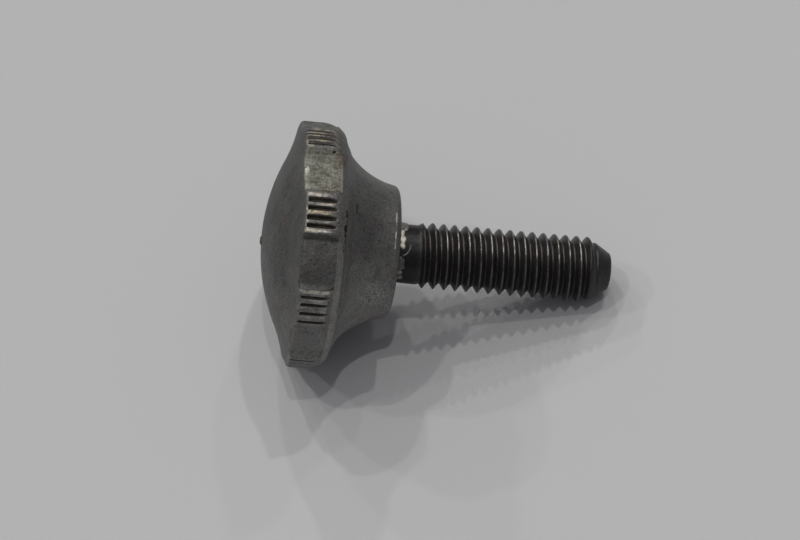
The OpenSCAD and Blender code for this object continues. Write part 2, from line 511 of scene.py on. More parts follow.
def add_face(skin):
    """The ogee, the dome and the pip, closed in the middle."""
    skin.rows("ogee", COARSE, arc(ogee_centre, OGEE_ROUND, 90 + EDGE_ANGLE, 90 + join_angle, FACE_STEP))
    dome = arc(dome_centre, DOME_ROUND, join_angle - 90, -90, FACE_STEP)
    skin.rows("dome", COARSE, [p for p in dome if p[0] > DOME_MIDDLE_R])
    skin.rows("dome", MIDDLE, [p for p in dome if DOME_INNER_R < p[0] <= DOME_MIDDLE_R])
    pip_base = dome_centre[1] - sqrt(DOME_ROUND ** 2 - PIP_R ** 2)
    pip_top = dome_top - PIP_H
    # the pip's foot and its edge are a little rounded
    skin.rows("pip", INNER, [
        (0.7, pip_base + 0.008), (PIP_R + 0.04, pip_base - 0.01), (PIP_R, pip_base - 0.05),
        (PIP_R - 0.03, pip_top + 0.04), (PIP_R - 0.12, pip_top)])
    skin.fan(skin.last, (0.0, 0.0, pip_top - 0.01))
    skin.note(np.zeros(1), 0.0, dome_top, skin.zones["pip"], 0.0)


def add_cavity(skin, first):
    """The hole for the stud and its hexagon, inwards from the seat's first ring."""
    hexagon = ANCHOR_FLAT_R / np.cos(np.radians(MIDDLE % 60.0 - 30.0))
    skin.last = first
    top = -ANCHOR_DEPTH + ANCHOR_HEIGHT
    for radius, height in ((NECK_R, STUD_START), (NECK_R, top), (hexagon, top), (hexagon, -ANCHOR_DEPTH)):
        skin.row("cavity", MIDDLE, radius, height, flip=True)
    skin.fan(skin.last, (0.0, 0.0, -ANCHOR_DEPTH), flip=True)
    skin.note(np.zeros(1), 0.0, -ANCHOR_DEPTH, skin.zones["cavity"], 0.0)


def knob_mesh():
    """The knob's whole skin, from the seat over the rim to the face."""
    skin = Outline()
    first = add_back(skin)
    for zone, at in rim_rows():
        radius, height, groove = rim_points(zone, at, FINE)
        skin.row(zone, FINE, radius, height, groove)
    add_face(skin)
    add_cavity(skin, first)
    return skin


def normals_of(points, faces):
    """Unit normals of the points, from the triangles and quads round them."""
    total = np.zeros_like(points)
    for size in (3, 4):
        some = np.array([face for face in faces if len(face) == size])
        corners = points[some]
        cross = np.cross(corners[:, size - 2] - corners[:, 0], corners[:, -1] - corners[:, size - 3])
        for k in range(size):
            np.add.at(total, some[:, k], cross)
    return total / np.maximum(np.linalg.norm(total, axis=1, keepdims=True), 1e-12)


class Wear:
    """Plain places on the knob's skin, in degrees and mm, with noise of three sizes."""

    def __init__(self, skin, points):
        self.height, self.radius, self.angle, self.zone, self.groove = np.vstack(skin.info).T
        self.numbers = skin.zones
        self.broad = fractal(points, 2.6, 1.0)
        self.medium = fractal(points, 0.9, 5.0)
        self.fine = fractal(points, 0.38, 2.0)

    def on(self, *names):
        """Whether each point lies on one of these parts of the knob."""
        return np.isin(self.zone, [self.numbers[name] for name in names])

    def oval(self, at_angle, at_height, half_round, half_along):
        """Distance from the middle of an oval patch, with 1 on its edge."""
        across = np.radians(turn_between(self.angle, at_angle)) * self.radius / half_round
        return np.hypot(across, (self.height - at_height) / half_along)

    def band(self, from_angle, to_angle, low, high, soft):
        """1 between two angles and two heights."""
        middle, half = (from_angle + to_angle) / 2, (to_angle - from_angle) / 2
        round_off = (half - np.abs(turn_between(self.angle, middle))) * radians(1) * self.radius
        return (smooth(-soft, soft, round_off) * smooth(low - soft, low + soft, self.height)
                * (1.0 - smooth(high - soft, high + soft, self.height)))


RIM = ("shoulder", "band", "front")
CREASE_AT = shoulder_centre[1] + SHOULDER_ROUND * sin(radians(55))
CREASE_DEPTH = 0.10
CREASE_START = 0.05  # it is full this far behind its line
CREASE_FADE = (CREASE_AT + 0.3, -4.7)  # heights between which it fades out


def crease_depth(wear):
    """The casting's parting line: the back of the rim lies a little below its shoulder."""
    behind = wear.on("shoulder", "back") & (wear.height > CREASE_AT)
    start = smooth(CREASE_AT, CREASE_AT + CREASE_START, wear.height)
    return np.where(behind, CREASE_DEPTH * start * (1 - smooth(*CREASE_FADE, wear.height)), 0.0)


# A ragged row of chips along the rim's back edge: its angles, heights and softness
CHIP_ROW = (199.0, 220.0, CREASE_AT - 0.12, CREASE_AT + 0.20, 0.05)
# Single chips: angle and height, half sizes round and along in mm, and raggedness
CHIPS = (
    (191.2, -4.22, 0.50, 0.08, 0.5),  # a short crack on the flare
    (208.4, CREASE_AT - 0.02, 0.34, 0.20, 0.5),
    (168.3, -6.62, 0.10, 0.08, 0.3),
)


def chip_mask(wear):
    """1 in the chips, pits and cracks, which are drawn black as painted shade."""
    mask = wear.band(*CHIP_ROW) * smooth(-0.30, 0.05, wear.medium + wear.fine * 0.5)
    for *place, ragged in CHIPS:
        far = wear.oval(*place) + wear.medium * ragged
        mask = np.maximum(mask, 1.0 - smooth(0.75, 1.05, far))
    return mask


# Heights between which the bare ridges fade in at the front and out at the back
RIDGE_FRONT = (-9.02, -8.80)
RIDGE_BACK = (-6.42, -6.20)


def ridge_mask(wear):
    """The lands between the grooves, which fingers keep bare."""
    off = np.abs(turn_between(wear.angle % SPAN, SPAN / 2))
    lobe = 1.0 - smooth(LOBE_ARC / 2 - 0.9, LOBE_ARC / 2 + 0.1, off)
    level = wear.height + wear.medium * 0.12
    along = smooth(*RIDGE_FRONT, level) * (1 - smooth(*RIDGE_BACK, level))
    return lobe * along * wear.on(*RIM) * (1 - smooth(0.01, 0.10, wear.groove))


# How bare the metal is on each lobe, and how warm its colour, from the lowest one on
LOBE_BARE = (0.4, 0.45, 0.35, 0.46, 0.52, 0.38, 0.15, 0.35)
LOBE_WARM = (0.3, 0.3, 0.3, 0.75, 0.55, 0.15, 0.1, 0.3)
# Single ridges that are barer than the rest: angle, half width in degrees, amount, warmth. The one at
# 238.8 also carries a painted highlight where it rises out of its hollow.
BARE_RIDGES = (
    (202.7, 1.2, 0.62, 1.0), (210.9, 0.45, 0.9, 0.1), (238.8, 1.1, 1.0, 0.25), (194.6, 0.6, 0.5, 0.0),
)
# How green and mottled each hollow is, from the lowest one on
HOLLOW_TONE = (0.0, 0.1, 0.0, 0.1, 1.0, 0.0, 0.0, 0.0)
# Painted shade in the hollows: how dark each hollow's floor and its sides are drawn against the plain tone
HOLLOW_PAINTED_SHADE = (1.0, 1.0, 1.0, 1.0, 1.0, 0.74, 0.95, 1.0)
SIDE_PAINTED_SHADE = (1.0, 1.0, 1.0, 1.0, 1.0, 0.42, 0.9, 1.0)
# Painted light and shade on the casting, lighter or darker by its angle round the axis: angle and share,
# by part of the knob
FLARE_PAINTED_SHADING = ((140.0, 0.95), (184.0, 0.64), (216.0, 0.66), (236.0, 0.90), (255.0, 1.10), (275.0, 1.35))
STRIP_PAINTED_SHADING = ((150.0, 0.78), (185.0, 0.78), (205.0, 0.86), (222.0, 1.10), (240.0, 1.28), (262.0, 1.65))
FACE_PAINTED_SHADING = ((150.0, 0.60), (200.0, 0.62), (240.0, 0.70), (275.0, 0.85))
# On the band, the rise at 238.8 is a painted highlight on the first ridge of that lobe.
BAND_PAINTED_SHADING = ((150.0, 0.75), (236.5, 0.90), (238.8, 1.35), (241.0, 0.92), (262.0, 1.15), (285.0, 1.20))


def share_at(wear, table):
    """The share that a table gives at each point's angle."""
    at, share = zip(*table)
    return np.interp(wear.angle, at, share)


def inside_hollow(wear):
    """1 on the floor of a hollow, 0 on the lobes and on the hollow's sides."""
    inside = 1.0 - smooth(HOLLOW_HALF - 2.2, HOLLOW_HALF - 0.9, np.abs(from_hollow(wear.angle)))
    along = 1.0 - smooth(hollow_stop - 0.03, hollow_stop + 0.01, wear.height)
    return inside * along * wear.on(*RIM)


UPPER_SIDE = 0.4  # how much of its shade a hollow's upper side has


def on_sides(wear):
    """1 on each hollow's lower side, less on its upper one and 0 elsewhere."""
    off = HOLLOW_HALF - np.abs(from_hollow(wear.angle))
    side = smooth(-0.5, 0.1, off) * (1 - smooth(2.2, 2.9, off))
    share = np.where(from_hollow(wear.angle) > 0, 1.0, UPPER_SIDE)
    return side * share * wear.on(*RIM) * (wear.height < hollow_stop)


def shade_of(wear):
    """Painted light and shade: how much lighter or darker the casting is drawn at each point."""
    shade = share_at(wear, BAND_PAINTED_SHADING)
    for place, table in (
            (wear.on("edge", "ogee", "dome", "pip"), FACE_PAINTED_SHADING),
            (wear.on("shoulder") & (wear.height > hollow_stop), STRIP_PAINTED_SHADING),
            (wear.on("shoulder", "back", "boss", "seat") & (wear.height > CREASE_AT), FLARE_PAINTED_SHADING)):
        shade = np.where(place, share_at(wear, table), shade)
    hollow = nearest_hollow(wear.angle)
    # painted shade on the floors and sides of the hollows
    shade = shade * (1 + inside_hollow(wear) * (np.array(HOLLOW_PAINTED_SHADE)[hollow] - 1))
    return shade * (1 + on_sides(wear) * (np.array(SIDE_PAINTED_SHADE)[hollow] - 1))


def bare_metal(wear):
    """How bare the casting is at each point, and how warm the bare metal's colour is."""
    lobe = lobe_at(wear.angle)
    ridge = ridge_mask(wear)
    worn = np.clip(0.62 + 0.9 * wear.medium + 0.5 * wear.fine, 0.0, 1.2)
    bare = ridge * np.array(LOBE_BARE)[lobe] * worn
    warm = ridge * np.array(LOBE_WARM)[lobe] * np.clip(0.5 + wear.medium, 0, 1)
    uneven = np.clip(0.75 + wear.fine + 0.5 * wear.medium, 0.3, 1.0)
    for at, half, amount, warmth in BARE_RIDGES:
        near = ridge * (1 - smooth(half * 0.7, half * 1.3, np.abs(turn_between(wear.angle, at))))
        bare = np.maximum(bare, near * amount * uneven)
        warm = np.maximum(warm, near * warmth)
    return bare, warm


def hollow_tone(wear):
    """How green and mottled the casting is at each point."""
    off = np.abs(from_hollow(wear.angle)) + wear.medium * 0.5
    near = 1.0 - smooth(HOLLOW_HALF - 0.9, HOLLOW_HALF + 0.5, off)
    fade = 1 - smooth(hollow_stop - 0.25, hollow_stop, wear.height)
    return near * wear.on(*RIM) * fade * np.array(HOLLOW_TONE)[nearest_hollow(wear.angle)]


# Stains: angle and height, half sizes round and along in mm, strength
BROWN_STAINS = (
    (172.5, -6.05, 1.3, 0.60, 0.8), (188.0, -6.5, 0.9, 0.7, 0.6), (205.0, -5.75, 2.4, 0.40, 0.4),
    (156.0, -7.6, 2.2, 1.9, 0.7), (224.0, -7.4, 1.6, 0.9, 0.25),
)


def brown_stain(wear):
    """Strength of the brown stains at each point."""
    stain = np.zeros(len(wear.angle))
    for *place, strength in BROWN_STAINS:
        far = wear.oval(*place) + wear.fine * 0.5
        stain = np.maximum(stain, (1.0 - smooth(0.1, 1.2, far)) * strength)
    return stain


# Open grain on the boss: angle and height, half sizes round and along in mm
GRAIN_PATCH = (257.0, -2.0, 1.9, 1.7)
# How far the skin lies below its plain form, in mm, and the seat's share of that
UNEVEN_BROAD = 0.022
UNEVEN_FINE = 0.012
CHIP_DEPTH = 0.12
GRAIN_DEPTH = 0.05
SEAT_SHARE = 0.3


def skin_depth(wear, chips, grain):
    """How far each point is sunk: the casting is a little uneven."""
    depth = np.clip(wear.broad * 0.5 + 0.5, 0, 1) * UNEVEN_BROAD
    depth += np.clip(wear.fine * 0.5 + 0.5, 0, 1) * UNEVEN_FINE
    depth += crease_depth(wear) + chips * CHIP_DEPTH
    depth += grain * GRAIN_DEPTH * smooth(0.0, 0.5, wear.fine)
    depth = np.where(wear.on("seat"), depth * SEAT_SHARE, depth)
    return np.where(wear.on("cavity"), 0.0, depth)


# Bare edges of the seat and of the face: angles, heights and softness
SEAT_EDGE = (181.0, 214.5, -0.57, -0.47, 0.03)
FACE_EDGE = (169.0, 192.0, -9.06, -8.72, 0.06)


def bare_edges(wear):
    """How bare the two worn edges are at each point."""
    seat = wear.band(*SEAT_EDGE) * np.clip(0.75 + 1.2 * wear.medium, 0, 1)
    face = wear.band(*FACE_EDGE) * wear.on("band", "front", "edge")
    return np.maximum(seat, face * np.clip(0.45 + 0.9 * wear.medium, 0, 0.7))


WORN_LOBE_GROOVE_DARKENING = 1.8  # how much darker the worn lobe's shallow grooves are drawn, with dirt and painted shade


def build_knob():
    skin = knob_mesh()
    points = skin.all_points()
    wear = Wear(skin, points)
    chips = chip_mask(wear)
    grain = 1.0 - smooth(0.25, 1.1, wear.oval(*GRAIN_PATCH) + wear.medium * 0.35)
    points = points - normals_of(points, skin.faces) * skin_depth(wear, chips, grain)[:, None]
    piece = make_piece("knob_casting", points, skin.faces, "knob")
    bare, warm = bare_metal(wear)
    groove_darkening = np.where(lobe_at(wear.angle) == WORN_LOBE, WORN_LOBE_GROOVE_DARKENING, 1.0)
    paint(
        piece,
        groove=np.clip(wear.groove * groove_darkening / GROOVE_DEPTH, 0, 1),
        bare=np.maximum(bare, bare_edges(wear)),
        warm=warm,
        tone=hollow_tone(wear),
        # black painted shade in the chips and in the grain's pores
        pit=np.maximum(chips, grain * 0.5 * smooth(0.1, 0.5, wear.fine)),
        grain=grain,
        # painted light and shade for each point
        shade=shade_of(wear),
        brown=brown_stain(wear),
    )
    return piece


# ---- Stud ----
WORN_CREST_R = 2.94
WORN_ROOT_R = 2.40
STUD_NECK_R = 2.64
STUD_OFF = 0.06  # the stud sits a little off the knob's middle, towards OFF_AT
OFF_AT = 307.1
STUD_COLUMNS = 180
CREST_EDGE = 0.035  # the worn crest is rounded by this much
FLANK_EDGE = 0.02
ROOT_EDGE = 0.012
RUN_END = 1.25  # the thread is fully deep after this many lengths of its run-out
CHAMFER_WORN = 0.02
TIP_EDGE = 0.10  # height of the rounded corner at the tip
STUD_UNEVEN = 0.012


def off_centre(z):
    """How far the stud's middle lies off the knob's axis at each height, as x and y."""
    off = STUD_OFF * smooth(-0.3, 1.5, z)
    return off * cos(radians(OFF_AT)), off * sin(radians(OFF_AT))


def thread_profile():
    """One pitch of the ridge: distance from the crest's middle, radius and share of crest."""
    crest_half = PITCH / 16
    flank = (CREST_R - ROOT_R) * tan(radians(30))
    root_half = PITCH / 2 - crest_half - flank
    crest, root = WORN_CREST_R, WORN_ROOT_R
    down = [(crest_half * t, crest - CREST_EDGE * (kind < 1.0), kind)
            for t, kind in ((-1.1, 0.8), (-0.5, 1.0), (0.5, 1.0), (1.1, 0.8))]
    top, bottom = crest - FLANK_EDGE, root + FLANK_EDGE
    side = [(crest_half + flank * t, top + (bottom - top) * t, 0.0) for t in (0.14, 0.5, 0.88)]
    floor = [(PITCH / 2 + root_half * t, root + ROOT_EDGE * lift, kind)
             for t, lift, kind in ((-0.75, 1, -0.8), (0.0, -1, -1.0), (0.75, 1, -0.8))]
    back = [(PITCH - along, level, kind) for along, level, kind in reversed(side)]
    return down + side + floor + back


def grown_from_neck(r, run):
    """Radius where the thread grows out of the neck. The run is in lengths of its run-out."""
    envelope = np.minimum(STUD_NECK_R + (WORN_CREST_R - STUD_NECK_R) * run, WORN_CREST_R)
    core = STUD_NECK_R + (WORN_ROOT_R - STUD_NECK_R) * smooth(0.3, RUN_END, run)
    r = np.where(run < RUN_END, np.maximum(np.minimum(r, envelope), core), r)
    return np.where(run < 0, STUD_NECK_R, r)


def ended_at_tip(r, z):
    """Radius and height with the lead chamfer, its rounded corner and the flat end."""
    r = np.minimum(r, CREST_R - CHAMFER_WORN - (z - CHAMFER_START) * tan(radians(TIP_ANGLE)))
    over = np.clip(z - (STUD_REACH - TIP_EDGE), 0.0, None)
    r = np.where(over > 0, np.maximum(TIP_R + 0.04 - over * 1.1 - over ** 2 * 5.0, 0.0), r)
    end = STUD_REACH - 0.012 - 0.09 * np.clip((r - TIP_R + 0.16) / 0.2, 0.0, 1.0)
    return r, np.clip(np.where(over > 0, np.minimum(z, end), z), STUD_START, STUD_REACH)


def stud_grid():
    """Rows that climb one pitch in each turn, from inside the knob to past the tip."""
    profile = thread_profile()
    turns = range(-2, ceil(STUD_REACH / PITCH) + 2)
    rows = [((turn + THREAD_TURN / 360) * PITCH + along, level, kind)
            for turn in turns for along, level, kind in profile]
    base, level, kind = (np.array(values) for values in zip(*rows))
    angle = np.arange(STUD_COLUMNS) * 360.0 / STUD_COLUMNS
    z = base[:, None] + PITCH * angle[None, :] / 360.0
    run = (z - NECK_LEN) / RUNOUT_LEN
    r, z = ended_at_tip(grown_from_neck(np.broadcast_to(level[:, None], z.shape), run), z)
    crest = np.where((run > 1.0) & (z < CHAMFER_START), kind[:, None], 0.0)
    return r, z, np.broadcast_to(angle[None, :], z.shape), crest, len(profile)


def stud_faces(rows, per_turn):
    """Quads between the rows. The last column meets the first one a turn higher up."""
    faces = [(a, a + 1, a + STUD_COLUMNS + 1, a + STUD_COLUMNS)
             for a in range((rows - 1) * STUD_COLUMNS) if (a + 1) % STUD_COLUMNS]
    for i in range(rows - 1 - per_turn):
        a = (i + 1) * STUD_COLUMNS - 1
        b = (i + per_turn) * STUD_COLUMNS
        faces.append((a, b, b + STUD_COLUMNS, a + STUD_COLUMNS))
    return faces


def close_mesh(mesh):
    """Merges points that fall together, and closes what is open."""
    work = bmesh.new()
    work.from_mesh(mesh)
    bmesh.ops.remove_doubles(work, verts=work.verts, dist=2e-7)
    bmesh.ops.dissolve_degenerate(work, edges=work.edges, dist=1e-7)
    bmesh.ops.holes_fill(work, edges=[e for e in work.edges if e.is_boundary], sides=0)
    bmesh.ops.recalc_face_normals(work, faces=work.faces)
    work.to_mesh(mesh)
    work.free()
    mesh.shade_smooth()


def build_stud():
    r, z, angle, crest, per_turn = stud_grid()
    points = round_axis(r, angle, z, off_centre(z)).reshape(-1, 3)
    # a little scale and wear, always to the inside
    rough = fractal(points, 0.22, 8.0)
    outside = (z.ravel() > -0.3) & (r.ravel() > 0.5)
    inward = np.where(outside, (rough * 0.5 + 0.5) * STUD_UNEVEN, 0.0)
    points -= round_axis(inward, angle.ravel(), np.zeros(len(points)))
    piece = make_piece("stud_steel", points, stud_faces(len(r), per_turn), "threaded_stud")
    paint(piece, crest=crest, along=z, turn=angle)
    close_mesh(piece.data)
    return piece


# ---- Casting flash that clings to the neck ----
FLASH_COLUMNS = 240
FLASH_SUNK = 0.06  # how far it lies inside the neck where there is none
FLASH_INSIDE = 0.20  # how far its hidden inner wall lies inside the neck
FLASH_LEVELS = np.linspace(-0.10, 1.42, 44)
# Each lump on the neck: its middle in degrees and mm along, its half sizes and its height
FLASH_LUMPS = (
    (139.0, 0.34, 1.15, 0.72, 0.11), (150.0, 0.66, 0.58, 0.48, 0.11), (160.0, 0.76, 0.34, 0.28, 0.09),
    (174.0, 0.50, 0.46, 0.20, 0.10), (190.0, 0.54, 0.52, 0.27, 0.12), (203.0, 0.50, 0.30, 0.26, 0.11),
    (240.0, 0.45, 0.80, 0.42, 0.025), (258.0, 0.42, 0.40, 0.36, 0.07), (272.0, 0.55, 0.30, 0.34, 0.06),
    (100.0, 0.12, 0.80, 0.25, 0.06), (320.0, 0.10, 1.10, 0.26, 0.06), (20.0, 0.05, 0.90, 0.22, 0.05),
)
# A thin curved ridge of flash runs through these points: degrees and mm along
FLASH_LINE = ((199.5, 1.24), (204.0, 1.22), (209.0, 1.17), (214.5, 1.02), (218.5, 0.86), (222.0, 0.62))
LINE_HEIGHT = 0.07
COLLAR_HEIGHT = 0.03
# The pale drip of metal: degrees between which it starts and ends, and mm along where it ends
DRIP_START = (162.0, 170.0)
DRIP_END = (204.0, 212.0)
DRIP_ALONG = (0.85, 1.0)


def raised(height, lift, share):
    """Height with one more form on it, which stands out by the lift where its share is 1."""
    return np.maximum(height, -FLASH_SUNK + (lift + FLASH_SUNK) * share)


def flash_height(angle, z, ragged):
    """Height of the flash above the neck, below 0 where there is none."""
    height = np.full(angle.shape, -FLASH_SUNK)
    for at, along, half_round, half_along, lift in FLASH_LUMPS:
        across = np.radians(turn_between(angle, at)) * STUD_NECK_R / half_round
        far = np.sqrt(across ** 2 + ((z - along) / half_along) ** 2) + ragged * 0.3
        height = raised(height, lift, 1.0 - smooth(0.75, 1.05, far))
    collar = 0.09 + 0.05 * ragged
    height = raised(height, COLLAR_HEIGHT, 1.0 - smooth(collar, collar + 0.06, z))
    path = [np.array((radians(at) * STUD_NECK_R, along)) for at, along in FLASH_LINE]
    for start, end in zip(path, path[1:]):
        step = end - start
        x, y = np.radians(angle) * STUD_NECK_R - start[0], z - start[1]
        share = np.clip((x * step[0] + y * step[1]) / float(step @ step), 0.0, 1.0)
        far = np.hypot(x - share * step[0], y - share * step[1])
        height = raised(height, LINE_HEIGHT, 1.0 - smooth(0.035, 0.085, far))
    return height


def build_flash():
    angle = np.arange(FLASH_COLUMNS) * 360.0 / FLASH_COLUMNS
    a, z = np.meshgrid(angle, FLASH_LEVELS)
    ragged = fractal(round_axis(STUD_NECK_R, a, z).reshape(-1, 3), 0.35, 4.0).reshape(a.shape)
    lift = flash_height(a, z, ragged) + 0.012 * ragged
    lift[0] = lift[-1] = -FLASH_SUNK
    ends = (FLASH_LEVELS[-1], FLASH_LEVELS[0])
    flat = np.ones(len(angle))
    rows = list(round_axis(STUD_NECK_R + lift, a, z, off_centre(z)))
    rows += [round_axis(STUD_NECK_R - FLASH_INSIDE, angle, flat * level) for level in ends]
    skin = Skin()
    rings = [skin.ring(angle, row) for row in rows]
    for upper, lower in zip(rings, rings[1:] + rings[:1]):
        skin.join(lower, upper)
    piece = make_piece("casting_flash", skin.all_points(), skin.faces)
    uneven = angle + np.vstack([ragged, np.zeros((len(ends), len(angle)))]) * 9.0
    along = 1 - smooth(*DRIP_ALONG, np.append(FLASH_LEVELS, ends)[:, None])
    drip = smooth(*DRIP_START, uneven) * (1 - smooth(*DRIP_END, uneven)) * along
    paint(piece, angle=np.tile(angle, len(rings)), drip=drip)
    return piece


# ---- Materials ----
class Nodes:
    """A short way to build a material's node tree."""

    def __init__(self, name):
        self.material = bpy.data.materials.new(name)
        self.material.use_nodes = True
        self.tree = self.material.node_tree
        self.shader = self.tree.nodes["Principled BSDF"]

    def put(self, value, target):
        """Sets a socket to a plain value, or links another socket to it."""
        if isinstance(value, (int, float)):
            target.default_value = value
        elif isinstance(value, tuple):
            target.default_value = (*value, 1.0) if target.type == "RGBA" else value
        else:
            self.tree.links.new(value, target)

    def set(self, **sockets):
        """Fills the shader's own sockets, named with _ for each space."""
        for name, value in sockets.items():
            self.put(value, self.shader.inputs[name.replace("_", " ")])

    def new(self, kind, output, sockets, **settings):
        """Adds a node with these sockets filled, and returns its output."""
        node = self.tree.nodes.new(kind)
        for key, value in settings.items():
            setattr(node, key, value)
        for name, value in sockets.items():
            self.put(value, node.inputs[name])
        return node.outputs[output]

    def noise(self, size_mm, detail, rough, seed):
        """Noise with features of the given size, which differs with its seed."""
        place = self.new("ShaderNodeTexCoord", "Object", {})
        shift = (seed * 0.031, seed * 0.017, seed * 0.023)
        place = self.new("ShaderNodeVectorMath", "Vector", {0: place, 1: shift}, operation="ADD")
        return self.new("ShaderNodeTexNoise", "Fac", {
            "Vector": place, "Scale": 1.0 / (size_mm * MM), "Detail": detail, "Roughness": rough})

    def range(self, value, low, high, out_low=0.0, out_high=1.0):
        """An eased change of the output while the value goes from low to high."""
        return self.new("ShaderNodeMapRange", "Result", {
            "Value": value, "From Min": low, "From Max": high, "To Min": out_low, "To Max": out_high,
        }, interpolation_type="SMOOTHSTEP")

    def math(self, operation, first, second):
        return self.new("ShaderNodeMath", "Value", {0: first, 1: second}, operation=operation)

    def times(self, first, second):
        return self.math("MULTIPLY", first, second)

    def mix(self, factor, first, second):
        """The first colour where the factor is 0 and the second where it is 1."""
        # a Mix node's colours are its inputs 6 and 7 and its output 2
        return self.new("ShaderNodeMix", 2, {0: factor, 6: first, 7: second}, data_type="RGBA")

    def layers(self, base, table):
        """Colours laid over the base one by one: mask, its low and high, largest share and colour."""
        for mask, low, high, share, colour in table:
            base = self.mix(self.range(mask, low, high, 0.0, share), base, colour)
        return base

    def scale(self, colour, factor):
        return self.new("ShaderNodeVectorMath", "Vector", {0: colour, "Scale": factor}, operation="SCALE")

    def attribute(self, name):
        return self.new("ShaderNodeAttribute", "Fac", {}, attribute_name=name)

    def bump(self, height, distance_mm, strength):
        return self.new("ShaderNodeBump", "Normal", {
            "Height": height, "Distance": distance_mm * MM, "Strength": strength})


# Colours of the casting, alone or in pairs that are mixed
ALLOY = ((0.150, 0.148, 0.144), (0.200, 0.198, 0.188))
ALLOY_REDDISH = (0.180, 0.150, 0.148)
ALLOY_GREENISH = (0.165, 0.172, 0.142)
ALLOY_CLOUDED = (0.098, 0.096, 0.094)
MOTTLE = ((0.285, 0.290, 0.245), (0.125, 0.115, 0.090))
STAIN = ((0.16, 0.115, 0.085), (0.07, 0.052, 0.042))
FLECK_DARK = (0.060, 0.055, 0.052)
FLECK_PALE = (0.285, 0.280, 0.262)
SPECK_DARK = (0.040, 0.037, 0.034)
SPECK_PALE = (0.34, 0.335, 0.31)
BARE = ((0.60, 0.58, 0.54), (0.50, 0.40, 0.24))
GRAIN_PALE = (0.33, 0.33, 0.31)
# Groove colours: dirt and painted shade
GROOVE_DIRT_AND_SHADE = ((0.012, 0.009, 0.006), (0.042, 0.028, 0.014))
# Black painted shade in the chips and pits
CHIP_PAINTED_SHADE = (0.010, 0.009, 0.008)


def cast_skin(m, cloud, fine):
    """The casting's dull skin: clouds of grey, stains, flecks and specks, scaled by the painted light and
    shade.
    """
    base = m.mix(m.range(m.noise(2.6, 4, 0.6, 1), 0.35, 0.65), *ALLOY)
    base = m.layers(base, (
        (m.noise(1.8, 3, 0.5, 4), 0.50, 0.72, 0.65, ALLOY_REDDISH),
        (m.noise(1.3, 3, 0.5, 8), 0.55, 0.75, 0.50, ALLOY_GREENISH),
        (cloud, 0.50, 0.74, 0.65, ALLOY_CLOUDED),
    ))
    mottle = m.range(m.math("ADD", cloud, m.times(fine, 0.6)), 0.55, 1.0)
    base = m.mix(m.attribute("tone"), base, m.mix(mottle, *MOTTLE))
    base = m.mix(m.attribute("brown"), base, m.mix(m.range(fine, 0.4, 0.6), *STAIN))
    speck = m.noise(0.13, 3, 0.6, 5)
    base = m.layers(base, (
        (fine, 0.55, 0.68, 0.75, FLECK_DARK),
        (fine, 0.46, 0.34, 0.45, FLECK_PALE),
        (speck, 0.58, 0.68, 0.65, SPECK_DARK),
        (speck, 0.40, 0.30, 0.50, SPECK_PALE),
    ))
    # the colour is scaled by the painted light and shade
    return m.scale(base, m.attribute("shade"))


def cast_material():
    m = Nodes("cast_alloy_worn")
    cloud = m.noise(0.9, 4, 0.6, 2)
    fine = m.noise(0.22, 4, 0.65, 3)
    base = cast_skin(m, cloud, fine)
    bare = m.attribute("bare")
    base = m.mix(m.range(bare, 0.05, 0.95), base, m.mix(m.attribute("warm"), *BARE))
    grain = m.times(m.attribute("grain"), m.range(m.noise(0.17, 3, 0.7, 6), 0.46, 0.58))
    base = m.mix(grain, base, GRAIN_PALE)
    groove = m.attribute("groove")
    # the grooves are darkened, the more the deeper: dirt and painted shade
    base = m.mix(m.range(groove, 0.10, 0.50), base, m.mix(m.range(cloud, 0.45, 0.62), *GROOVE_DIRT_AND_SHADE))
    relief = m.math("ADD", m.times(fine, 0.8), cloud)
    m.set(
        # the chips and pits are drawn black: painted shade
        Base_Color=m.mix(m.range(m.attribute("pit"), 0.25, 0.7), base, CHIP_PAINTED_SHADE),
        Metallic=m.range(groove, 0.1, 0.5, 0.75, 0.1),
        Roughness=m.range(bare, 0.0, 1.0, 0.56, 0.36),
        Normal=m.bump(relief, 0.08, 0.8),
    )
    return m.material


FLASH_DULL = ((0.27, 0.27, 0.255), (0.14, 0.137, 0.128))
FLASH_CREAM = ((0.76, 0.71, 0.60), (0.40, 0.35, 0.26))
FLASH_DARKER_BAND = (0.055, 0.055, 0.053)


def flash_material():
    m = Nodes("cast_flash")
    angle = m.attribute("angle")
    drip = m.attribute("drip")
    cloud = m.noise(0.3, 3, 0.6, 7)
    dull = m.mix(m.range(cloud, 0.35, 0.7), *FLASH_DULL)
    cream = m.mix(m.range(cloud, 0.42, 0.70), *FLASH_CREAM)
    # the flash is drawn darker between the angles 222 and 256
    dark = m.times(m.range(angle, 222.0, 228.0), m.range(angle, 256.0, 250.0))
    m.set(
        Base_Color=m.mix(m.times(dark, 0.6), m.mix(drip, dull, cream), FLASH_DARKER_BAND),
        Metallic=m.range(drip, 0.0, 1.0, 0.7, 0.15),
        Roughness=0.42,
        Normal=m.bump(cloud, 0.03, 0.6),
    )
    return m.material


STEEL = ((0.0125, 0.0115, 0.0115), (0.026, 0.0235, 0.0225))
STEEL_BROWN = (0.020, 0.015, 0.014)
# Crest colour: bare worn metal and a painted highlight; root colour: a painted highlight
CREST_BARE_AND_HIGHLIGHT = (0.31, 0.285, 0.255)
ROOT_PAINTED_HIGHLIGHT = (0.10, 0.078, 0.072)
NECK_BLACK = (0.008, 0.0075, 0.008)


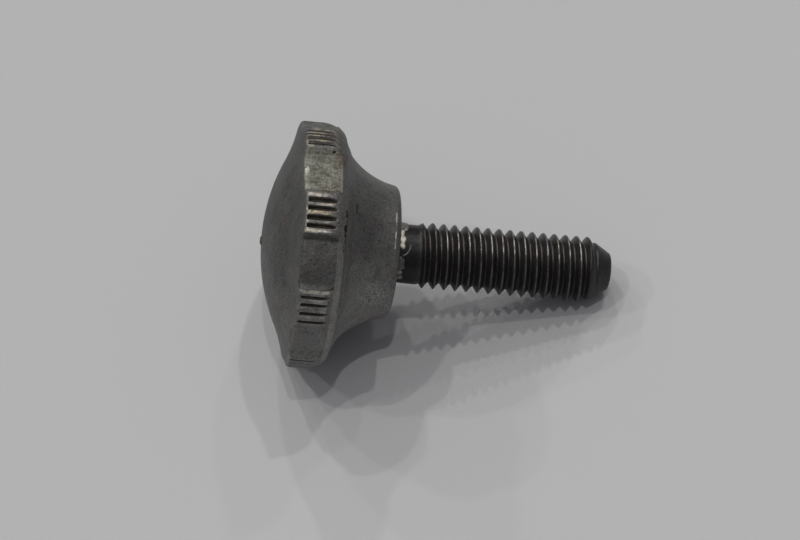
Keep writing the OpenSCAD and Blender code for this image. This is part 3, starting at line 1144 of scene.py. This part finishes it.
def steel_material():
    m = Nodes("black_steel_worn")
    crest, turn, along = m.attribute("crest"), m.attribute("turn"), m.attribute("along")
    fine = m.noise(0.25, 4, 0.6, 3)
    base = m.mix(m.range(fine, 0.35, 0.7), *STEEL)
    base = m.layers(base, ((m.noise(1.5, 3, 0.5, 9), 0.45, 0.7, 0.6, STEEL_BROWN),))
    # the crests are worn, less beside the neck, and a painted highlight brightens them within a band of
    # angles round the stud
    highlight_band = m.times(m.range(turn, 146.0, 162.0), m.range(turn, 206.0, 196.0))
    worn = m.times(m.range(crest, 0.70, 0.98), m.range(along, 3.0, 4.2, 0.12, 1.0))
    worn = m.times(worn, m.range(m.noise(0.7, 3, 0.6, 11), 0.35, 0.6, 0.2, 1.0))
    worn = m.times(worn, m.range(highlight_band, 0.0, 1.0, 0.28, 1.0))
    base = m.mix(worn, base, CREST_BARE_AND_HIGHLIGHT)
    # the roots get a painted highlight in the same band of angles
    root = m.times(m.range(crest, -0.5, -0.95), highlight_band)
    base = m.mix(m.times(root, 0.6), base, ROOT_PAINTED_HIGHLIGHT)
    # the plain neck keeps its dull black
    neck = m.range(along, 1.7, 2.3, 1.0, 0.0)
    m.set(
        Base_Color=m.mix(m.times(neck, 0.35), base, NECK_BLACK),
        Specular_IOR_Level=m.range(neck, 0.0, 1.0, 0.5, 0.27),
        Metallic=m.range(worn, 0.0, 1.0, 0.3, 0.95),
        Roughness=m.range(fine, 0.2, 0.8, 0.30, 0.44),
        Normal=m.bump(fine, 0.012, 0.5),
    )
    return m.material


build_knob().data.materials.append(cast_material())
build_stud().data.materials.append(steel_material())
build_flash().data.materials.append(flash_material())

# ---- Floor ----
FLOOR_HALF = 0.6
FLOOR_COLOUR = (0.445, 0.445, 0.452)


def floor_material():
    m = Nodes("floor_paint")
    m.set(Base_Color=FLOOR_COLOUR, Roughness=0.85)
    return m.material


def build_floor():
    mesh = bpy.data.meshes.new("floor")
    h = FLOOR_HALF
    mesh.from_pydata([(-h, -h, 0), (h, -h, 0), (h, h, 0), (-h, h, 0)], [], [(0, 1, 2, 3)])
    floor = add_object("floor", mesh)
    floor.data.materials.append(floor_material())


build_floor()


# ---- Lamps: small ones overhead and a pale room ----
ROOM = 0.30  # the room's share of the light on the floor
ROOM_LOW = 0.2  # how strong the room is at the height of the floor
ROOM_TINT = (0.975, 0.965, 1.05, 1.0)
FLOOR_MEAN = 2 / 3  # mean height, from 0 to 1, that the floor's light comes from
# Each lamp's place along x and y for a height of 1, and its share of the floor's light
LAMPS = (
    ((0.20, -0.18), 0.120), ((-0.33, 0.0), 0.098), ((0.375, 0.34), 0.112), ((-0.17, 0.53), 0.094),
    ((-0.9, 0.17), 0.056), ((0.0, 1.05), 0.070), ((-0.73, 0.75), 0.048), ((0.53, 0.85), 0.036),
    ((-0.6, 1.2), 0.033),
)
LAMP_WIDTH = 1.6
LAMP_TINT = (1.015, 1.02, 0.975)


def build_lamps():
    for index, ((along, behind), share) in enumerate(LAMPS):
        direction = Vector((along, behind, 1.0))
        light = bpy.data.lights.new("lamp_%d" % index, "SUN")
        light.energy = share * pi * direction.length
        light.angle = radians(LAMP_WIDTH)
        light.color = LAMP_TINT
        lamp = add_object("lamp_%d" % index, light)
        lamp.rotation_mode = "QUATERNION"
        lamp.rotation_quaternion = direction.to_track_quat("Z", "Y")


def build_room():
    """A room, paler overhead, that lights the floor as an even one of strength ROOM does."""
    world = bpy.data.worlds.new("studio")
    bpy.context.scene.world = world
    world.use_nodes = True
    tree = world.node_tree
    background = tree.nodes["Background"]
    background.inputs["Color"].default_value = ROOM_TINT
    split = tree.nodes.new("ShaderNodeSeparateXYZ")
    tree.links.new(tree.nodes.new("ShaderNodeTexCoord").outputs["Generated"], split.inputs[0])
    rise = tree.nodes.new("ShaderNodeMapRange")
    tree.links.new(split.outputs["Z"], rise.inputs["Value"])
    rise.inputs["To Min"].default_value = ROOM * ROOM_LOW
    rise.inputs["To Max"].default_value = ROOM * (ROOM_LOW + (1 - ROOM_LOW) / FLOOR_MEAN)
    tree.links.new(rise.outputs["Result"], background.inputs["Strength"])


build_lamps()
build_room()

# ---- Camera ----
IMAGE_W = 800
IMAGE_H = 540
FOCAL_PX = 3500.0
SENSOR_MM = 36.0
DISTANCE = 0.31115
SEAT_PX = (393.07, 252.07)  # where the middle of the seat lies in the image
TURN_UP = 37.1  # from the screw's own upright to the camera, round its axis
TURN_ALONG = 6.6  # the camera stands a little behind the knob
ROLL = 5.01


def rotated(first, second, angle):
    """Two square directions, both turned from the first one towards the second."""
    turn = radians(angle)
    return (first * cos(turn) + second * sin(turn),
            second * cos(turn) - first * sin(turn))


def aim_camera():
    """Turns the camera round the screw, and shifts it until the seat is in place."""
    above, near = rotated(ACROSS, LYING_UP, TURN_UP)
    right, back = rotated(AXIS, near, TURN_ALONG)
    image_right, image_up = rotated(right, above, ROLL)
    off_right = (SEAT_PX[0] - IMAGE_W / 2) / FOCAL_PX * DISTANCE
    off_up = (IMAGE_H / 2 - SEAT_PX[1]) / FOCAL_PX * DISTANCE
    place = SEAT - image_right * off_right - image_up * off_up + back * DISTANCE
    data = bpy.data.cameras.new("camera")
    data.sensor_width = SENSOR_MM
    data.lens = FOCAL_PX * SENSOR_MM / IMAGE_W
    data.clip_start = 0.01
    data.clip_end = 10.0
    camera = add_object("camera", data)
    turned = Matrix((image_right, image_up, back)).transposed().to_4x4()
    camera.matrix_world = Matrix.Translation(place) @ turned
    bpy.context.scene.camera = camera


aim_camera()
bpy.context.scene.view_settings.view_transform = "Standard"
